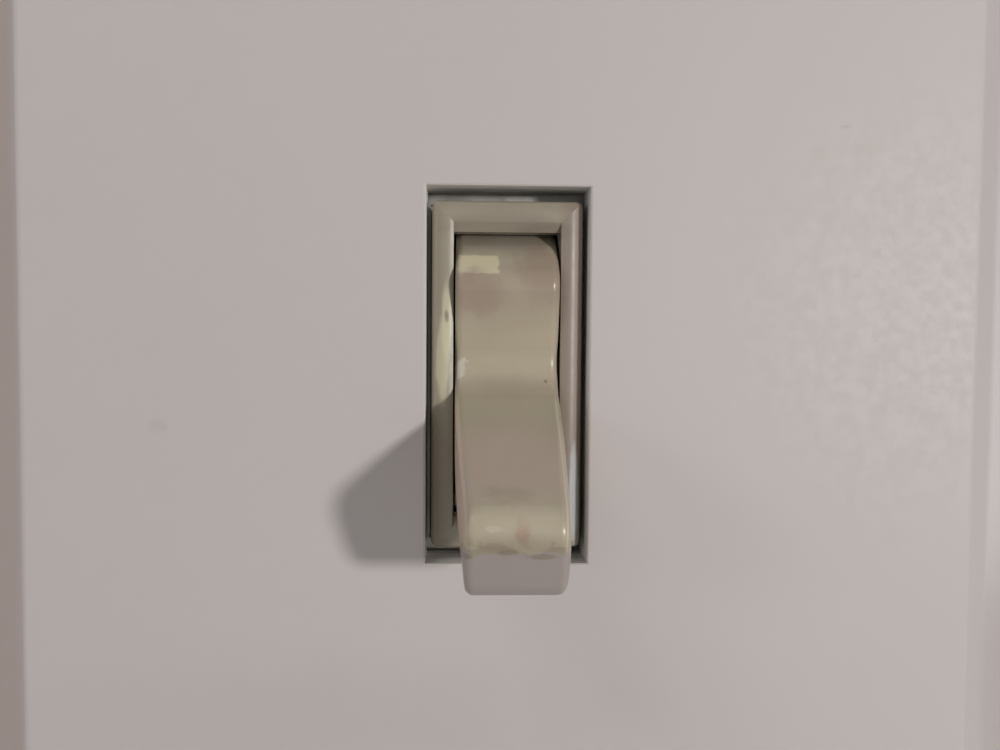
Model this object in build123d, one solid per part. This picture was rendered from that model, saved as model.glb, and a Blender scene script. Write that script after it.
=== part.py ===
from build123d import *
import os
from math import cos, radians, sin, tan

# Toggle wall switch: a side-wired switch on its mounting strap, behind a one-gang wall plate.
# X is to the right, Y into the wall and Z up. Y = 0 is the surface of the wall.
# Lengths are in millimetres and angles in degrees.

# Wall plate
plate_w = 69.85
plate_h = 114.3
plate_d = 6.35
plate_bevel = 4.925
plate_edge = 2.4
plate_t = 2.9
plate_wall = 2.2
plate_corner = 3.0
plate_face_round = 0.6
opening_w = 10.3
opening_h = 23.8
opening_round = 0.15
opening_lip = 1.5
opening_lip_h = 0.8
rib_t = 1.2
rib_h = 1.0
rib_x = 20.0
rib_z = 22.8
plate_boss_r = 4.4
edge_margin = 0.1

# Machine screws of the plate and of the wall box
screw_r = 1.70
thread_clear = 0.05
plate_screw_span = 60.33
plate_screw_len = 13.0
plate_screw_head_r = 3.45
plate_hole_r = 1.95
countersink = 82.0
head_dome = 0.9
box_screw_span = 83.34
box_screw_len = 25.4
box_head_r = 3.4
box_head_h = 1.7
box_neck_r = 1.35
box_head_rim = 0.85
slot_w = 0.9
slot_d = 0.9
screw_chamfer = 0.5
retainer_w = 8.5
retainer_t = 0.45
retainer_clear = 0.02

# Mounting strap
strap_t = 1.3
strap_len = 106.4
strap_end_w = 19.0
strap_corner = 1.0
ear_w = 34.0
ear_len = 12.0
ear_notch = 1.4
ear_slot_len = 2.4
ear_slot_w = 3.4
window_clear = 0.2
box_slot_len = 6.5
tap_rim_r = 3.0
tap_rim_h = 1.0
ground_tab_w = 8.0
ground_tab_d = 9.0
ground_tab_gap = 1.2
tab_bend_r = 1.0

# Switch body: the cover with its collar, and the housing behind it
body_w = 25.0
body_h = 44.0
flange_t = 2.5
housing_d = 18.0
body_round = 1.2
collar_side_gap = 0.35
collar_end_gap = 0.8
collar_set_back = 1.0
collar_round = 0.5
collar_edge_round = 0.3
collar_crown = 0.12
slot_h = 18.3
slot_end_slope = 0.6
slot_end_drop = 0.45
chamber_w = 14.0
chamber_gap = 0.7
floor_y = 15.0

# Lever, in its own frame: reach runs from the pivot along the handle
pivot_y = 1.85
lever_throw = 49.6
lever_w = 6.6
lever_side_gap = 0.125
lever_reach = 21.8
lever_edge_round = 0.5
dome_r = 40.0
dome_top = 6.0
dome_corner = 1.6
swing_r = 10.3
swing_gap = 0.2
shoulder = 1.6
root_fillet = 2.4
handle_root_t = 5.3
handle_overlap = 1.0
taper_reach = 7.0
waist_reach = 9.4
waist_t = 4.66
waist_w = 6.58
waist_bow = 0.05
middle_reach = 13.4
middle_t = 5.06
middle_w = 6.44
middle_bow = 0.2
swell_reach = 19.8
swell_t = 5.4
swell_w = 5.8
lever_tip_w = 5.4
tip_bow = 0.25
tip_overrun = 0.5
tip_round = 1.5
trunnion_r = 1.3
trunnion_len = 12.4
bearing_clear = 0.06

# Spring and plunger in the lever's stem
stem_r = 2.6
stem_reach = 7.0
pocket_r = 1.75
pocket_bottom = 0.8
plunger_clear = 0.05
plunger_back = 4.2
plunger_taper = 7.4
plunger_reach = 10.4
nose_r = 1.2
spigot_r = 0.75
spigot_len = 1.6
spring_r = 1.2
spring_wire_r = 0.2
spring_turns = 4
spring_seat = 0.05

# Rocking contact
rocker_swing = 13.0
rocker_w = 3.2
rocker_t = 0.8
rocker_gap = 0.08
rocker_arm = 5.7
rocker_knee = 4.8
rocker_foot = 8.0
tab_r = 0.4
tab_clear = 0.05
tab_len = 6.0
contact_z = 6.4
contact_r = 1.5
contact_h = 0.9
contact_gap = 0.05

# Terminals
terminal_t = 1.0
terminal_clear = 0.1
terminal_w = 8.6
terminal_y = 11.4
terminal_end_gap = 1.0
pivot_tongue_w = 3.2
load_tongue_w = 3.4
ear_t = 0.8
ear_gap = 0.5
pocket_depth = 2.9
pocket_w = 12.0
pocket_end_wall = 3.0
terminal_screw_inset = 5.8
terminal_screw_r = 2.08
terminal_head_r = 3.7
terminal_head_h = 2.1
terminal_screw_len = 4.6
wire_hole_r = 1.3
wire_hole_d = 5.0
release_w = 2.0
release_h = 4.2

# Stops and rivets
pad_t = 0.8
pad_gap = 0.08
pad_len = 3.0
ledge_z = 6.0
groove_w = 3.8
rivet_inset = 5.0
rivet_r = 1.5
rivet_clear = 0.05
rivet_head_r = 2.7
rivet_head_h = 0.9
rivet_bore_r = 0.9
rivet_bore_d = 2.5

# Moulded details outside the housing
back_panel_w = 10.0
back_panel_h = 22.0
back_panel_d = 0.5
back_panel_x = -3.0
side_groove_w = 2.2
side_groove_d = 0.8
side_groove_pitch = 6.0
side_groove_count = 5

# Derived sizes
face_y = -plate_d
inner_y = face_y + plate_t
plate_screw_z = plate_screw_span / 2
box_screw_z = box_screw_span / 2
collar_w = opening_w - 2 * collar_side_gap
collar_h = opening_h - 2 * collar_end_gap
collar_y = face_y + collar_set_back
slot_w_in_collar = lever_w + 2 * lever_side_gap
cavity_h = 2 * (swing_r + swing_gap)
chamber_h = 2 * (swing_r + chamber_gap)
housing_back = flange_t + housing_d
rivet_z = body_h / 2 - rivet_inset
tilt = lever_throw / 2
rocker_tilt = rocker_swing / 2
saddle_y = pivot_y + plunger_reach + rocker_gap
rocker_y = saddle_y + rocker_t / 2
tongue_y = floor_y - terminal_t
pocket_x = body_w / 2 - pocket_depth
pocket_z = body_h / 2 - pocket_end_wall
terminal_screw_z = pocket_z - terminal_screw_inset
ground_z = -(body_h / 2 + ground_tab_gap + ground_tab_w / 2)
handle_start = handle_overlap - dome_top

lever_seat = Pos(0, pivot_y, 0) * Rot(X=tilt)
rocker_seat = Pos(0, rocker_y, 0) * Rot(X=-rocker_tilt)


def at_depth(y):
    """A plane square to Y at depth y, which faces out of the wall."""
    return Plane.XZ.offset(-y)


def block(width, height, front, back, x=0, z=0, corner=0):
    """A block centred on (x, z) that runs between two depths."""
    outline = RectangleRounded(width, height, corner) if corner else Rectangle(width, height)
    return extrude(at_depth(back) * Pos(x, z) * outline, back - front)


def rod(radius, front, back, x=0, z=0):
    """A round rod along Y between two depths."""
    return extrude(at_depth(back) * Pos(x, z) * Circle(radius), back - front)


def cross_rod(radius, x0, x1, y=0, z=0):
    """A round rod along X."""
    return extrude(Plane.YZ.offset(x0) * Pos(y, z) * Circle(radius), x1 - x0)


def side_block(x0, x1, y0, y1, z0, z1):
    """A block given by its limits along each axis."""
    return Pos((x0 + x1) / 2, (y0 + y1) / 2, (z0 + z1) / 2) * Box(x1 - x0, y1 - y0, z1 - z0)


def turned(*curves):
    """A solid turned about Y from a profile whose X is the radius."""
    profile = Curve() + list(curves)
    return revolve(Plane.XY * make_face(profile), Axis.Y)


def dome_arc(radius, rim, crown):
    """The arc of a domed head, from its crown on the axis to its rim."""
    return TangentArc((0, crown), (radius, rim), tangent=(1, 0))


def plate_body(width, height, edge, depth, bevel, corner):
    """An upright edge with a sloped bevel above it."""
    base = RectangleRounded(width, height, corner)
    top = RectangleRounded(width - 2 * bevel, height - 2 * bevel, corner)
    return extrude(at_depth(0) * base, edge) + loft([at_depth(-edge) * base, at_depth(-depth) * top])


def wall_plate():
    """The one-gang plate: bevelled front, hollow ribbed back, toggle opening and two screw holes."""
    plate = plate_body(plate_w, plate_h, plate_edge, plate_d, plate_bevel, plate_corner)
    plate = fillet(plate.edges().group_by(Axis.Y)[0], plate_face_round)
    hollow_w = plate_w - 2 * plate_wall
    hollow_h = plate_h - 2 * plate_wall
    hollow_edge = plate_edge - plate_wall / 2
    hollow = plate_body(hollow_w, hollow_h, hollow_edge, -inner_y, plate_bevel - plate_edge / 2, plate_corner / 2)
    plate -= hollow
    rib_y = inner_y + rib_h
    for side in (-1, 1):
        rib_long = block(rib_t, hollow_h, inner_y, rib_y, x=side * rib_x)
        rib_cross = block(hollow_w, rib_t, inner_y, rib_y, z=side * rib_z)
        plate += (rib_long + rib_cross) & hollow
        plate += rod(plate_boss_r, inner_y, -strap_t, z=side * plate_screw_z)
    plate += block(opening_w + 2 * opening_lip, opening_h + 2 * opening_lip, inner_y, inner_y + opening_lip_h)
    plate -= block(opening_w, opening_h, face_y, 0)
    opening_edges = plate.edges().group_by(Axis.Y)[0].filter_by(lambda e: abs(e.center().X) <= opening_w / 2)
    plate = fillet(opening_edges.filter_by(lambda e: abs(e.center().Z) <= opening_h / 2), opening_round)
    sink = (plate_screw_head_r - plate_hole_r) / tan(radians(countersink / 2))
    for side in (-1, 1):
        plate -= rod(plate_hole_r, face_y, 0, z=side * plate_screw_z)
        cone = Solid.make_cone(plate_hole_r, plate_screw_head_r, sink, at_depth(face_y + sink))
        plate -= Pos(0, 0, side * plate_screw_z) * cone
    return plate


def plate_screw():
    """An oval-head slotted machine screw, its head's rim flush with the plate's face."""
    head_r = plate_screw_head_r - thread_clear
    cone_end = face_y + (head_r - screw_r) / tan(radians(countersink / 2))
    end = face_y + plate_screw_len
    crown = face_y - head_dome
    screw = turned(
        dome_arc(head_r, face_y, crown),
        Polyline((head_r, face_y), (screw_r, cone_end), (screw_r, end - screw_chamfer)),
        Polyline((screw_r, end - screw_chamfer), (screw_r - screw_chamfer, end), (0, end), (0, crown)),
    )
    return screw - block(slot_w, 2 * plate_screw_head_r, 2 * face_y, crown + slot_d + head_dome / 2)


def box_screw():
    """A long pan-head screw for the wall box, with a thin neck that keeps it captive."""
    top = -strap_t - box_head_h
    end = -strap_t + box_screw_len
    rim = -strap_t - box_head_rim
    screw = turned(
        dome_arc(box_head_r, rim, top),
        Polyline((box_head_r, rim), (box_head_r, -strap_t), (box_neck_r, -strap_t), (box_neck_r, retainer_t)),
        Polyline((box_neck_r, retainer_t), (screw_r, retainer_t), (screw_r, end - screw_chamfer)),
        Polyline((screw_r, end - screw_chamfer), (screw_r - screw_chamfer, end), (0, end), (0, top)),
    )
    return screw - block(2 * box_head_r, slot_w, 2 * top, top + slot_d)


def screw_retainer():
    """The fibre washer that keeps a box screw captive behind the strap."""
    washer = block(retainer_w, retainer_w, 0, retainer_t, corner=strap_corner)
    return washer - rod(box_neck_r + retainer_clear, 0, retainer_t)


def ear_outline(side):
    """One plaster-ear end of the strap, with the notches where its ears snap off."""
    centre_z = side * (strap_len - ear_len) / 2
    ears = Pos(0, centre_z) * RectangleRounded(ear_w, ear_len, 2 * strap_corner)
    ear_slot = SlotCenterToCenter(ear_slot_len, ear_slot_w, rotation=90)
    for x in (-1, 1):
        for z in (-1, 1):
            ears -= Pos(x * strap_end_w / 2, centre_z + z * ear_len / 2) * Circle(ear_notch)
        ears -= Pos(x * (strap_end_w + ear_w) / 4, centre_z) * ear_slot
    return ears


def mounting_strap():
    """The stamped steel yoke: window for the collar, screw holes, plaster ears and a folded ground tab."""
    outline = RectangleRounded(strap_end_w, strap_len, strap_corner)
    outline += RectangleRounded(body_w, body_h + 2 * strap_corner, strap_corner)
    for side in (-1, 1):
        outline += ear_outline(side)
    outline -= Rectangle(collar_w + 2 * window_clear, collar_h + 2 * window_clear)
    for side in (-1, 1):
        slot = SlotOverall(box_slot_len, 2 * screw_r + 4 * thread_clear)
        outline -= Pos(0, side * box_screw_z) * slot
        outline -= Pos(0, side * rivet_z) * Circle(rivet_r + rivet_clear)
    strap = extrude(at_depth(0) * outline, strap_t)
    for side in (-1, 1):
        strap += rod(tap_rim_r, 0, tap_rim_h, z=side * plate_screw_z)
        strap -= rod(screw_r + thread_clear, -strap_t, tap_rim_h, z=side * plate_screw_z)
    return strap - tab_strip(0) + ground_tab()


def tab_strip(back):
    """The strip at the strap's left edge that the ground tab is folded from, as far back as a given depth."""
    left = -strap_end_w / 2
    low = ground_z - ground_tab_w / 2
    return side_block(left, left + strap_t, -strap_t, back, low, low + ground_tab_w)


def ground_tab():
    """The tab folded back from the strap's left edge, tapped for the ground screw."""
    left = -strap_end_w / 2
    tab = tab_strip(ground_tab_d)
    outer_corners = tab.edges().filter_by(Axis.X).group_by(Axis.Y)[-1]
    tab = fillet(outer_corners, 2 * strap_corner)
    fold = tab.edges().filter_by(Axis.Z).group_by(Axis.Y)[0].sort_by(Axis.X)[0]
    tab = fillet(fold, tab_bend_r)
    hole = cross_rod(terminal_screw_r + thread_clear, left, left + strap_t, ground_tab_d / 2, ground_z)
    return tab - hole


def ground_screw():
    """The hexagon-headed slotted ground screw in the strap's tab."""
    left = -strap_end_w / 2
    hexagon = Plane.YZ.offset(left - terminal_head_h) * Pos(ground_tab_d / 2, ground_z)
    head = extrude(hexagon * RegularPolygon(terminal_head_r, 6), terminal_head_h)
    shank = cross_rod(terminal_screw_r, left, left + terminal_screw_len, ground_tab_d / 2, ground_z)
    slot = side_block(
        left - terminal_head_h, left - terminal_head_h + slot_d, 0, ground_tab_d,
        ground_z - slot_w / 2, ground_z + slot_w / 2,
    )
    return head + shank - slot


def rivet():
    """A rivet through strap, cover and housing, headed at the front and set at the back."""
    front = -strap_t
    back = housing_back
    crown = front - rivet_head_h
    rolled = back + rivet_head_h
    bore_end = rolled - rivet_bore_d
    return turned(
        dome_arc(rivet_head_r, front, crown),
        Polyline((rivet_head_r, front), (rivet_r, front), (rivet_r, back), (rivet_head_r, back)),
        TangentArc((rivet_head_r, back), (rivet_bore_r, rolled), tangent=(0, 1)),
        Polyline((rivet_bore_r, rolled), (rivet_bore_r, bore_end), (0, bore_end), (0, crown)),
    )


def trunnion_seat(back):
    """The round seat of the lever's trunnions, open towards the wall as far as the given depth."""
    radius = trunnion_r + bearing_clear
    reach = trunnion_len / 2 + bearing_clear
    seat = cross_rod(radius, -reach, reach, pivot_y)
    return seat + side_block(-reach, reach, pivot_y, back, -radius, radius)


def collar_frame():
    """The ivory cover: a flange behind the strap and the collar that shows in the plate's opening."""
    frame = block(body_w, body_h, 0, flange_t, corner=body_round)
    frame += block(collar_w, collar_h, collar_y, 0, corner=collar_round)
    frame -= block(slot_w_in_collar, slot_h, collar_y, 0)
    frame -= collar_face_trim()
    for side in (-1, 1):
        frame -= slot_end_cut(side)
    frame -= block(slot_w_in_collar, cavity_h, pivot_y, flange_t)
    half = slot_w_in_collar / 2
    swing = cross_rod(cavity_h / 2, -half, half, pivot_y)
    frame -= swing & block(slot_w_in_collar, cavity_h, collar_y + 2 * slot_end_drop, flange_t)
    frame -= trunnion_seat(flange_t)
    for side in (-1, 1):
        frame -= rod(rivet_r + rivet_clear, 0, flange_t, z=side * rivet_z)
    return frame


def collar_face_trim():
    """The space in front of the collar's crowned face and round edge, carried round its four sides."""
    outer = collar_w / 2
    inner = slot_w_in_collar / 2
    crest = (outer - collar_edge_round + inner) / 2
    foot = collar_y + collar_crown
    front = collar_y - collar_crown
    outside = outer + collar_edge_round
    profile = Curve() + [
        Polyline((inner, foot), (inner, front), (outside, front), (outside, foot + collar_edge_round)),
        Line((outside, foot + collar_edge_round), (outer, foot + collar_edge_round)),
        TangentArc((outer, foot + collar_edge_round), (outer - collar_edge_round, foot), tangent=(0, -1)),
        ThreePointArc((outer - collar_edge_round, foot), (crest, collar_y), (inner, foot)),
    ]
    top = collar_h / 2
    path = Plane.XZ * Polyline(
        (outer, 0), (outer, top), (-outer, top), (-outer, -top), (outer, -top), (outer, 0),
    )
    return sweep(make_face(profile), path, transition=Transition.RIGHT)


def slot_end_cut(side):
    """The wedge that slopes one end of the collar's slot down towards the lever."""
    end = slot_h / 2
    top = end + slot_end_slope
    foot = collar_y + collar_crown
    wedge = make_face(Polyline(
        (collar_y - collar_crown, end), (foot + slot_end_drop, end), (foot, top), (collar_y - collar_crown, top),
        close=True,
    ))
    cut = extrude(Plane.YZ * wedge, slot_w_in_collar / 2, both=True)
    return cut if side > 0 else mirror(cut, Plane.XY)


def lever_side():
    """The lever's side view: a domed base about the pivot, and a waisted handle with a round tip."""
    base = Circle(swing_r) & Pos(dome_r - dome_top, 0) * Circle(dome_r)
    base -= Pos(shoulder + swing_r, 0) * Rectangle(2 * swing_r, 4 * swing_r)
    base = fillet(base.vertices().group_by(Axis.X)[0], dome_corner)
    upper = Spline(
        (handle_start, handle_root_t / 2), (-waist_reach, waist_t / 2), (-middle_reach, middle_t / 2),
        (-swell_reach, swell_t / 2), (-lever_reach, swell_t / 2),
    )
    lower = mirror(upper, Plane.XZ)
    root = Line(upper @ 0, lower @ 0)
    tip = Line(upper @ 1, lower @ 1)
    handle = make_face(Curve() + [upper, lower, root, tip])
    handle = fillet(handle.vertices().group_by(Axis.X)[0], tip_round)
    side = base + handle
    crotches = side.vertices().filter_by(lambda v: -waist_reach < v.X < handle_start and abs(v.Y) < waist_t)
    return fillet(crotches, root_fillet)


def handle_section(reach, width, bow):
    """A section across the handle whose sides bow out half way through its thickness."""
    height = (swell_t + lever_edge_round) / 2
    middle = width / 2
    edge = middle - bow
    right = Line((edge, -height), (edge, height))
    left = Line((-edge, height), (-edge, -height))
    if bow:
        right = ThreePointArc((edge, -height), (middle, 0), (edge, height))
        left = ThreePointArc((-edge, height), (-middle, 0), (-edge, -height))
    top = Line((edge, height), (-edge, height))
    bottom = Line((-edge, -height), (edge, -height))
    return Pos(0, -reach, 0) * Rot(X=90) * make_face(Curve() + [right, top, left, bottom])


def lever_width():
    """What the lever fills from side to side: straight at the domed base, tapered along the handle."""
    sections = (
        (taper_reach, lever_w, 0), (waist_reach, waist_w, waist_bow), (middle_reach, middle_w, middle_bow),
        (swell_reach, swell_w, tip_bow), (lever_reach + tip_overrun, lever_tip_w, tip_bow),
    )
    handle = loft([handle_section(*section) for section in sections])
    return handle + block(lever_w, 2 * swing_r, -taper_reach, swing_r)


def lever_body():
    """The moulded lever without its pins and stem, with its long edges rounded."""
    body = extrude(Plane.YZ * lever_side(), lever_w, both=True) & lever_width()
    inner = lever_tip_w / 2 - tip_bow - edge_margin
    side_edges = body.edges().filter_by(lambda e: abs(e.center().X) > inner)
    front_edges = side_edges.filter_by(lambda e: e.center().Y < shoulder - edge_margin)
    seams = front_edges.filter_by(lambda e: abs(e.center().Z) < edge_margin and e.center().Y > -swell_reach)
    return fillet(front_edges - seams, lever_edge_round)


def toggle_lever():
    """The lever with its trunnions and the stem that holds the spring."""
    lever = lever_body()
    lever += cross_rod(trunnion_r, -trunnion_len / 2, trunnion_len / 2)
    lever += rod(stem_r, 0, stem_reach)
    lever -= rod(pocket_r, pocket_bottom, stem_reach)
    return lever_seat * lever


def spring_plunger():
    """The plunger that the spring presses on the rocker: spigot, shank and round nose."""
    radius = pocket_r - plunger_clear
    nose = plunger_reach - nose_r
    plunger = turned(
        Polyline((0, plunger_back - spigot_len), (spigot_r, plunger_back - spigot_len), (spigot_r, plunger_back)),
        Polyline((spigot_r, plunger_back), (radius, plunger_back), (radius, plunger_taper), (nose_r, nose)),
        TangentArc((nose_r, nose), (0, plunger_reach), tangent=(0, 1)),
        Line((0, plunger_reach), (0, plunger_back - spigot_len)),
    )
    return lever_seat * plunger


def lever_spring():
    """The coil spring between the stem's pocket and the plunger."""
    start = pocket_bottom + spring_seat + spring_wire_r
    length = plunger_back - spring_seat - spring_wire_r - start
    path = Helix(length / spring_turns, length, spring_r)
    section = Plane(origin=path @ 0, z_dir=path % 0) * Circle(spring_wire_r)
    coil = sweep(section, path)
    return lever_seat * Pos(0, start, 0) * Rot(X=-90) * coil


def saddle_radius():
    """The rocker's curve that keeps the plunger's nose as close at both ends as in the middle."""
    reach = plunger_reach - nose_r
    y = pivot_y + reach * cos(radians(tilt)) - rocker_y
    z = reach * sin(radians(tilt))
    turn = radians(rocker_tilt)
    drop = y * cos(turn) - z * sin(turn) + rocker_t / 2
    rise = y * sin(turn) + z * cos(turn)
    keep = nose_r + rocker_gap
    return (drop ** 2 + rise ** 2 - keep ** 2) / (-2 * (drop + keep))


def contact_plane_y():
    """Depth of the moving contact's back when the switch is on."""
    return tongue_y - contact_h - contact_gap - rocker_y


def contact_rocker():
    """The stamped brass rocker: a curved saddle, side tabs, and a flat foot that carries the contact."""
    radius = saddle_radius()
    centre = -rocker_t / 2 - radius
    ring = Pos(centre, 0) * (Circle(radius + rocker_t) - Circle(radius))
    ring &= Pos(0, (rocker_arm - rocker_knee) / 2) * Rectangle(radius, rocker_arm + rocker_knee)
    rocker = extrude(Plane.YZ * ring, rocker_w / 2, both=True)
    back = contact_plane_y() - contact_h
    foot = side_block(-rocker_w / 2, rocker_w / 2, back - rocker_t, back, -rocker_foot, -rocker_knee)
    rocker += Rot(X=-rocker_tilt) * foot
    rocker += cross_rod(tab_r, -tab_len / 2, tab_len / 2)
    return rocker_seat * rocker


def moving_contact():
    """The silver button on the back of the rocker's foot."""
    back = contact_plane_y()
    button = rod(contact_r, back - contact_h, back, z=-contact_z)
    button = fillet(button.edges().group_by(Axis.Y)[-1], contact_h / 3)
    return rocker_seat * Rot(X=-rocker_tilt) * button


def fixed_contact():
    """The silver button on the load terminal."""
    button = rod(contact_r, tongue_y - contact_h, tongue_y, z=-contact_z)
    return fillet(button.edges().group_by(Axis.Y)[0], contact_h / 3)


def terminal_plate(low, high, screw_z):
    """The outer leaf of a terminal, tapped for its binding screw."""
    x1 = pocket_x + terminal_t
    leaf = side_block(pocket_x, x1, floor_y - terminal_w, floor_y, low, high)
    return leaf - cross_rod(terminal_screw_r + thread_clear, pocket_x, x1, terminal_y, screw_z)


def pivot_terminal():
    """The line terminal: outer leaf, tongue through the housing wall, and two ears for the rocker."""
    half = pivot_tongue_w / 2
    terminal = terminal_plate(-half, pocket_z - terminal_end_gap, terminal_screw_z)
    ear_x = rocker_w / 2 + ear_gap
    terminal += side_block(-ear_x - ear_t, pocket_x, tongue_y, floor_y, -half, half)
    notch_r = tab_r + tab_clear
    for side in (-1, 1):
        x0, x1 = sorted((side * ear_x, side * (ear_x + ear_t)))
        ear = side_block(x0, x1, rocker_y - tab_r, tongue_y, -half, half)
        ear -= cross_rod(notch_r, x0, x1, rocker_y)
        ear -= side_block(x0, x1, rocker_y - tab_r, rocker_y, -notch_r, notch_r)
        terminal += ear
    return terminal


def load_terminal():
    """The load terminal: outer leaf and the tongue under the fixed contact."""
    top = -contact_z + load_tongue_w / 2
    low = -pocket_z + terminal_end_gap
    terminal = terminal_plate(low, top, -terminal_screw_z)
    return terminal + side_block(-contact_r, pocket_x, tongue_y, floor_y, top - load_tongue_w, top)


def terminal_screw(side):
    """A binding-head screw on one of the terminal leaves."""
    x = pocket_x + terminal_t
    z = side * terminal_screw_z
    head = cross_rod(terminal_head_r, x, x + terminal_head_h, terminal_y, z)
    head = fillet(head.edges().group_by(Axis.X)[-1], terminal_head_h / 3)
    shank = cross_rod(terminal_screw_r, x - terminal_screw_len, x, terminal_y, z)
    top = x + terminal_head_h
    slot = side_block(top - slot_d, top, terminal_y - terminal_head_r, terminal_y + terminal_head_r,
                      z - slot_w / 2, z + slot_w / 2)
    return head + shank - slot


def stop_frame(side):
    """The frame of a stop: its origin is at the pivot and its Y runs into the wall along the stem."""
    return Pos(0, pivot_y, 0) * Rot(X=-side * tilt)


def stop_pad(side):
    """The fibre pad that the lever's shoulder meets at the end of its throw."""
    front = shoulder + pad_gap
    inner = ledge_foot()
    z0, z1 = sorted((side * inner, side * (inner + pad_len)))
    half = slot_w_in_collar / 2
    return stop_frame(side) * side_block(-half, half, front, front + pad_t, z0, z1)


def ledge_foot():
    """Distance along the shoulder from the pivot to the inner end of a stop's ledge."""
    back = shoulder + pad_gap + pad_t
    return (ledge_z + back * sin(radians(tilt))) / cos(radians(tilt))


def ledge(side):
    """One of the housing's two stop ledges, sloped to meet the lever's shoulder."""
    half = chamber_w / 2
    z0, z1 = sorted((side * ledge_z, side * chamber_h / 2))
    post = side_block(-half, half, flange_t, floor_y, z0, z1)
    reach = 2 * swing_r
    front = shoulder + pad_gap + pad_t
    above = stop_frame(side) * side_block(-reach, reach, front - reach, front, -reach, reach)
    groove = side_block(-groove_w / 2, groove_w / 2, flange_t, floor_y, z0, z1)
    return post - above - groove


def side_pocket(low, high):
    """A pocket in the housing's right side for one terminal."""
    half = body_w / 2
    y0 = floor_y - pocket_w + terminal_clear
    return side_block(pocket_x, half, y0, floor_y + terminal_clear, low, high)


def base_housing():
    """The moulded housing: contact chamber, bearings, stop ledges, terminal pockets and wire holes."""
    housing = block(body_w, body_h, flange_t, housing_back, corner=body_round)
    housing = chamfer(housing.edges().group_by(Axis.Y)[-1], body_round)
    housing -= block(chamber_w, chamber_h, flange_t, floor_y)
    panel_y = housing_back - back_panel_d
    housing -= block(back_panel_w, back_panel_h, panel_y, housing_back, x=back_panel_x, corner=body_round)
    housing -= side_grooves()
    inner = slot_w_in_collar / 2
    for side in (-1, 1):
        x0, x1 = sorted((side * inner, side * chamber_w / 2))
        cheek_z = trunnion_r + bearing_clear + body_round
        housing += side_block(x0, x1, flange_t, floor_y, -cheek_z, cheek_z)
        housing += ledge(side)
        housing -= rod(rivet_r + rivet_clear, flange_t, housing_back, z=side * rivet_z)
    housing -= trunnion_seat(flange_t)
    pivot_low = -pivot_tongue_w / 2 - terminal_clear
    load_top = -contact_z + load_tongue_w / 2 + terminal_clear
    housing -= side_pocket(pivot_low, pocket_z)
    housing -= side_pocket(-pocket_z, load_top)
    slot_y0 = tongue_y - terminal_clear
    housing -= side_block(0, pocket_x, slot_y0, floor_y, pivot_low, -pivot_low)
    load_low = load_top - load_tongue_w - 2 * terminal_clear
    housing -= side_block(-contact_r - terminal_clear, pocket_x, slot_y0, floor_y, load_low, load_top)
    for side in (-1, 1):
        housing -= screw_and_wire_holes(side)
    return housing


def side_grooves():
    """The row of upright grooves on the housing's left side."""
    grooves = Part()
    left = -body_w / 2
    for step in range(side_groove_count):
        z = (step - (side_groove_count - 1) / 2) * side_groove_pitch
        groove = side_block(left, left + side_groove_d, 2 * flange_t, housing_back - flange_t,
                            z - side_groove_w / 2, z + side_groove_w / 2)
        grooves += groove
    return grooves


def screw_and_wire_holes(side):
    """Clearance for a terminal screw's tip, and the push-in wire hole with its release slot."""
    z = side * terminal_screw_z
    x_tip = pocket_x + terminal_t - terminal_screw_len - terminal_clear
    holes = cross_rod(terminal_screw_r + 2 * terminal_clear, x_tip, pocket_x, terminal_y, z)
    wire_x = pocket_x - wire_hole_r
    holes += rod(wire_hole_r, housing_back - wire_hole_d, housing_back, x=wire_x, z=z)
    slot_z = z - side * (wire_hole_r + release_h)
    return holes + block(release_w, release_h, housing_back - wire_hole_d, housing_back, x=wire_x, z=slot_z)


pieces = {
    "wall_plate": wall_plate(),
    "plate_screw_upper": Pos(0, 0, plate_screw_z) * plate_screw(),
    "plate_screw_lower": Pos(0, 0, -plate_screw_z) * plate_screw(),
    "mounting_strap": mounting_strap(),
    "box_screw_upper": Pos(0, 0, box_screw_z) * box_screw(),
    "box_screw_lower": Pos(0, 0, -box_screw_z) * box_screw(),
    "screw_retainer_upper": Pos(0, 0, box_screw_z) * screw_retainer(),
    "screw_retainer_lower": Pos(0, 0, -box_screw_z) * screw_retainer(),
    "ground_screw": ground_screw(),
    "collar_frame": collar_frame(),
    "base_housing": base_housing(),
    "rivet_upper": Pos(0, 0, rivet_z) * rivet(),
    "rivet_lower": Pos(0, 0, -rivet_z) * rivet(),
    "toggle_lever": toggle_lever(),
    "lever_spring": lever_spring(),
    "spring_plunger": spring_plunger(),
    "contact_rocker": contact_rocker(),
    "moving_contact": moving_contact(),
    "fixed_contact": fixed_contact(),
    "pivot_terminal": pivot_terminal(),
    "load_terminal": load_terminal(),
    "line_terminal_screw": terminal_screw(1),
    "load_terminal_screw": terminal_screw(-1),
    "stop_pad_upper": stop_pad(1),
    "stop_pad_lower": stop_pad(-1),
}

os.makedirs("parts", exist_ok=True)
for name, piece in pieces.items():
    export_step(piece, f"parts/{name}.step")
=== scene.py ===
"""Toggle wall switch behind a bevelled one-gang plate: surfaces, finishes, light and camera.

The file is laid out as an add-on whose operators each finish one group of pieces.
X runs to the right, Y into the wall and Z up. Lengths are in metres unless a comment says mm.
"""
import math
from typing import NamedTuple

import bmesh
import bpy
import numpy as np
from bpy.props import FloatProperty, FloatVectorProperty, IntProperty, PointerProperty
from mathutils import Matrix, Vector


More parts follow.
